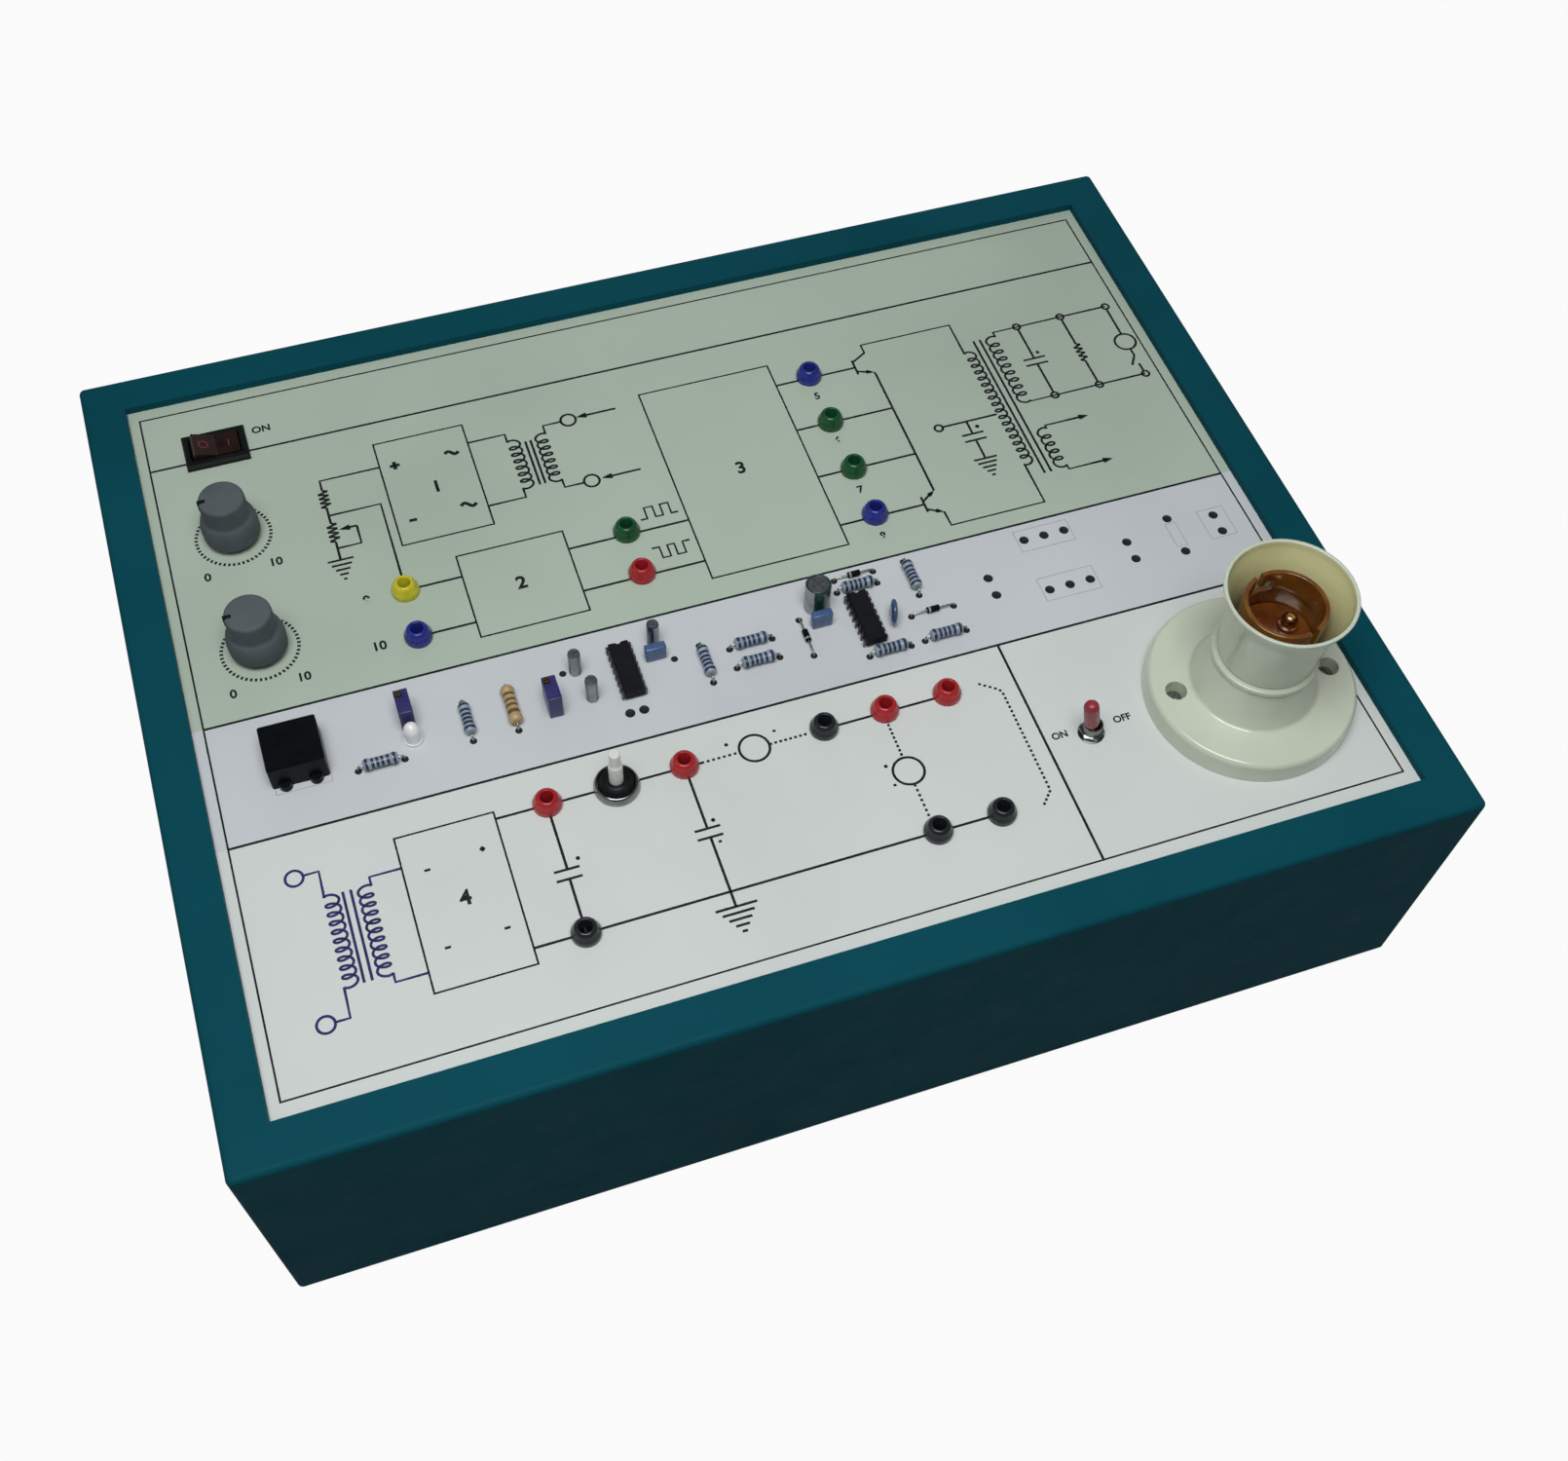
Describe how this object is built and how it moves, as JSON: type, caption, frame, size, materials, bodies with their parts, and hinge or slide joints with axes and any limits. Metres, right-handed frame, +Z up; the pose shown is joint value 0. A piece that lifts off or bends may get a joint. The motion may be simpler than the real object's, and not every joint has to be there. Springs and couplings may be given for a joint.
{
  "type": "inverter trainer",
  "caption": "Low sheet-metal case with a printed circuit panel on top: mains rocker, two knobs, test sockets, push-button breaker, components, toggle switch and bayonet lamp holder.",
  "frame": {"origin": "On the bench plane under the feet, at the middle of the overall width and depth", "axes": "+X to the right seen from the operator's side, +Y to the back, +Z up out of the panel; metres"},
  "size_m": [0.38, 0.297, 0.1512],
  "materials": {
    "barrel_brown": "glossy phenolic moulding",
    "black_plastic": "fine moulded grain",
    "board": "glass fibre laminate",
    "bright_nut": "bright nickel plate",
    "can_blue": "shrunk sleeve",
    "case_paint": "fine textured powder coat, deep teal",
    "chip_black": "fine grained moulding",
    "coil_wrap": "wound and wrapped in yellow film",
    "contact_brass": "stamped",
    "core_steel": "stacked laminations, varnished",
    "diode_black": "smooth moulding",
    "film_cap": "blue dipped or moulded coating",
    "insert_brown": "glossy phenolic moulding",
    "knob_grey": "fine moulded grain",
    "lamp_ivory": "glossy moulding",
    "led_clear": "clear moulding",
    "panel_paint": "smooth off-white enamel with printed lines",
    "relay_black": "smooth moulding",
    "resistor_body": "lacquered body with colour bands",
    "resistor_tan": "lacquered body",
    "rocker_black": "polished moulding",
    "rubber": "matt",
    "shaft_steel": "drawn bar",
    "sink_aluminium": "extruded",
    "sleeve_red": "dipped plastic",
    "socket_black": "polished moulding",
    "socket_blue": "polished moulding",
    "socket_green": "polished moulding",
    "socket_red": "polished moulding",
    "socket_yellow": "polished moulding",
    "spring_steel": "drawn wire",
    "tinned_lead": "tinned",
    "toggle_metal": "nickel plated",
    "trimmer_blue": "fine moulded grain",
    "white_plastic": "smooth moulded",
    "zinc_steel": "bright zinc plate"
  },
  "bodies": {
    "case": {"base_plate": "case_paint", "board_spacers": "white_plastic", "breaker_body": "black_plastic", "breaker_nut": "bright_nut", "case_shell": "case_paint", "chip_pins": "tinned_lead", "chips": "chip_black", "component_leads": "tinned_lead", "control_board": "board", "diodes": "diode_black", "electrolytics": "can_blue", "film_capacitors": "film_cap", "filter_capacitors": "can_blue", "frequency_pot_body": "zinc_steel", "front_panel": "panel_paint", "fuse_holder": "black_plastic", "heat_sink": "sink_aluminium", "indicator_led": "led_clear", "inlet_housing": "black_plastic", "lamp_barrel": "barrel_brown", "lamp_base": "lamp_ivory", "lamp_cup": "lamp_ivory", "lamp_insert": "insert_brown", "lamp_spring_left": "spring_steel", "lamp_spring_right": "spring_steel", "mains_terminals": "contact_brass", "panel_nuts": "bright_nut", "panel_rails": "zinc_steel", "power_semiconductors": "chip_black", "power_switch_housing": "black_plastic", "reference_pot_body": "zinc_steel", "relay_block": "relay_black", "resistors": "resistor_body", "rubber_feet": "rubber", "socket_tags": "contact_brass", "sockets_black": "socket_black", "sockets_blue": "socket_blue", "sockets_green": "socket_green", "sockets_red": "socket_red", "sockets_yellow": "socket_yellow", "tan_resistor": "resistor_tan", "toggle_body": "toggle_metal", "transformer_coils": "coil_wrap", "transformer_cores": "core_steel", "trimmer_bodies": "trimmer_blue"},
    "power_rocker": {"power_rocker": "rocker_black"},
    "reference_control": {"reference_knob": "knob_grey", "reference_pot_shaft": "shaft_steel"},
    "frequency_control": {"frequency_knob": "knob_grey", "frequency_pot_shaft": "shaft_steel"},
    "breaker_button": {"breaker_button": "white_plastic"},
    "lamp_toggle": {"toggle_lever": "bright_nut", "toggle_sleeve": "sleeve_red"},
    "lamp_contact_left": {"lamp_contact_left": "contact_brass"},
    "lamp_contact_right": {"lamp_contact_right": "contact_brass"},
    "trimmer_screw_left": {"trimmer_screw_left": "contact_brass"},
    "trimmer_screw_right": {"trimmer_screw_right": "contact_brass"}
  },
  "joints": [
    {"name": "power_rocker_tilt", "type": "hinge", "parent": "case", "child": "power_rocker", "pos_m": [-0.1498, 0.1089, 0.0994], "axis": [0, 1, 0], "range_deg": [-20, 0]},
    {"name": "reference_knob_turn", "type": "hinge", "parent": "case", "child": "reference_control", "pos_m": [-0.1506, 0.0702, 0.0992], "axis": [0, 0, 1], "range_deg": [-240, 60]},
    {"name": "frequency_knob_turn", "type": "hinge", "parent": "case", "child": "frequency_control", "pos_m": [-0.1506, 0.0228, 0.0992], "axis": [0, 0, 1], "range_deg": [-240, 60]},
    {"name": "breaker_button_press", "type": "slide", "parent": "case", "child": "breaker_button", "axis": [0, 0, -1], "range_m": [0, 0.004], "stiffness_N_per_m": 300, "springref_m": -0.001},
    {"name": "lamp_toggle_throw", "type": "hinge", "parent": "case", "child": "lamp_toggle", "pos_m": [0.0863, -0.0856, 0.101], "axis": [0, 1, 0], "range_deg": [0, 24]},
    {"name": "lamp_contact_left_press", "type": "slide", "parent": "case", "child": "lamp_contact_left", "axis": [0, 0, -1], "range_m": [0, 0.003], "stiffness_N_per_m": 500, "springref_m": -0.001, "deforming": ["lamp_spring_left"]},
    {"name": "lamp_contact_right_press", "type": "slide", "parent": "case", "child": "lamp_contact_right", "axis": [0, 0, -1], "range_m": [0, 0.003], "stiffness_N_per_m": 500, "springref_m": -0.001, "deforming": ["lamp_spring_right"]},
    {"name": "trimmer_left_turn", "type": "hinge", "parent": "case", "child": "trimmer_screw_left", "pos_m": [-0.1136, -0.0142, 0.1092], "axis": [0, 0, 1], "continuous": true},
    {"name": "trimmer_right_turn", "type": "hinge", "parent": "case", "child": "trimmer_screw_right", "pos_m": [-0.0696, -0.023, 0.1092], "axis": [0, 0, 1], "continuous": true}
  ]
}
